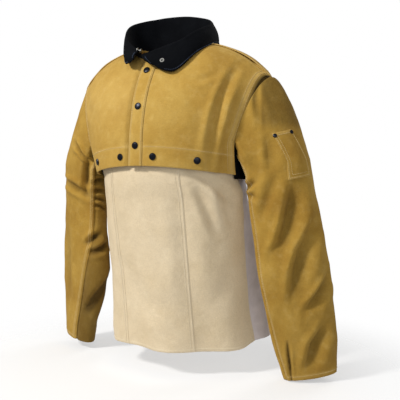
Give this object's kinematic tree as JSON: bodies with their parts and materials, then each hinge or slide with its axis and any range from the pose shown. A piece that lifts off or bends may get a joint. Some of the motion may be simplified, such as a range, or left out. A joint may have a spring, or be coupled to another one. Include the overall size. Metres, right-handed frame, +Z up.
{
  "type": "leather welding jacket",
  "caption": "Split-leather welding cape jacket with sleeves, snap front, black turned-down collar, pen pocket and a pale detachable bib.",
  "frame": {"origin": "middle of the bounding box's underside, level with the cuffs", "axes": "+Z up the body, -Y out of the jacket's front, +X to the wearer's left"},
  "size_m": [0.7822, 0.33, 0.8774],
  "materials": {
    "leather": "suede",
    "bib_leather": "suede",
    "wing_cloth": "matte",
    "collar_cloth": "matte",
    "snap_black": "glossy",
    "snap_steel": "satin"
  },
  "bodies": {
    "cape": {"left_front_side": "leather", "right_front_panel": "leather", "back_panel": "leather", "underlap_facing": "leather", "right_hem_facing": "leather", "back_hem_facing": "leather", "left_sleeve_head": "leather", "right_sleeve_head": "leather", "pen_pocket": "leather", "bib_top_strip": "bib_leather", "hang_loop": "collar_cloth", "collar_stand": "collar_cloth", "collar_fall": "collar_cloth", "left_underarm_gusset": "collar_cloth", "right_underarm_gusset": "collar_cloth", "hem_snap_cap_1": "snap_black", "hem_snap_cap_2": "snap_black", "hem_snap_cap_4": "snap_black", "pocket_rivet_1": "snap_black", "pocket_rivet_2": "snap_black", "front_snap_stud_1": "snap_steel", "front_snap_stud_2": "snap_steel", "front_snap_stud_3": "snap_steel", "hem_snap_stud_1": "snap_steel", "hem_snap_stud_2": "snap_steel", "hem_snap_stud_3": "snap_steel", "hem_snap_stud_4": "snap_steel"},
    "left_front": {"left_front_panel": "leather", "placket_strip": "leather", "left_hem_facing": "leather", "left_collar_stand": "collar_cloth", "left_collar_wing": "collar_cloth", "neck_snap_ring": "snap_steel", "front_snap_cap_1": "snap_black", "front_snap_cap_2": "snap_black", "front_snap_cap_3": "snap_black", "front_snap_socket_1": "snap_steel", "front_snap_socket_2": "snap_steel", "front_snap_socket_3": "snap_steel", "hem_snap_cap_3": "snap_black"},
    "left_upper_sleeve": {"left_upper_sleeve_outer": "leather", "left_upper_sleeve_under": "leather"},
    "left_forearm": {"left_forearm_sleeve_outer": "leather", "left_forearm_sleeve_under": "leather"},
    "right_upper_sleeve": {"right_upper_sleeve_outer": "leather", "right_upper_sleeve_under": "leather"},
    "right_forearm": {"right_forearm_sleeve_outer": "leather", "right_forearm_sleeve_under": "leather"},
    "bib": {"bib_centre_panel": "bib_leather", "bib_left_panel": "bib_leather", "bib_right_panel": "bib_leather", "bib_left_wing": "wing_cloth", "bib_right_wing": "wing_cloth"}
  },
  "joints": [
    {"name": "left_front_opening", "type": "hinge", "parent": "cape", "child": "left_front", "pos_m": [0.11788, -0.13495, 0.48756], "axis": [-0.17, -0.0757, 0.9825], "range_deg": [0, 65]},
    {"name": "left_sleeve_swing", "type": "hinge", "parent": "cape", "child": "left_upper_sleeve", "pos_m": [0.28988, 0.03105, 0.43956], "axis": [0, -1, 0], "range_deg": [0, 30]},
    {"name": "left_elbow_bend", "type": "hinge", "parent": "left_upper_sleeve", "child": "left_forearm", "pos_m": [0.28988, 0.02505, 0.31156], "axis": [-1, 0, 0], "range_deg": [0, 50]},
    {"name": "right_sleeve_swing", "type": "hinge", "parent": "cape", "child": "right_upper_sleeve", "pos_m": [-0.29012, 0.03105, 0.43956], "axis": [0, 1, 0], "range_deg": [0, 30]},
    {"name": "right_elbow_bend", "type": "hinge", "parent": "right_upper_sleeve", "child": "right_forearm", "pos_m": [-0.29012, 0.02505, 0.31156], "axis": [-1, 0, 0], "range_deg": [0, 50]},
    {"name": "bib_swing", "type": "hinge", "parent": "cape", "child": "bib", "pos_m": [-0.00012, -0.15895, 0.48056], "axis": [-1, 0, 0], "range_deg": [0, 60]}
  ]
}
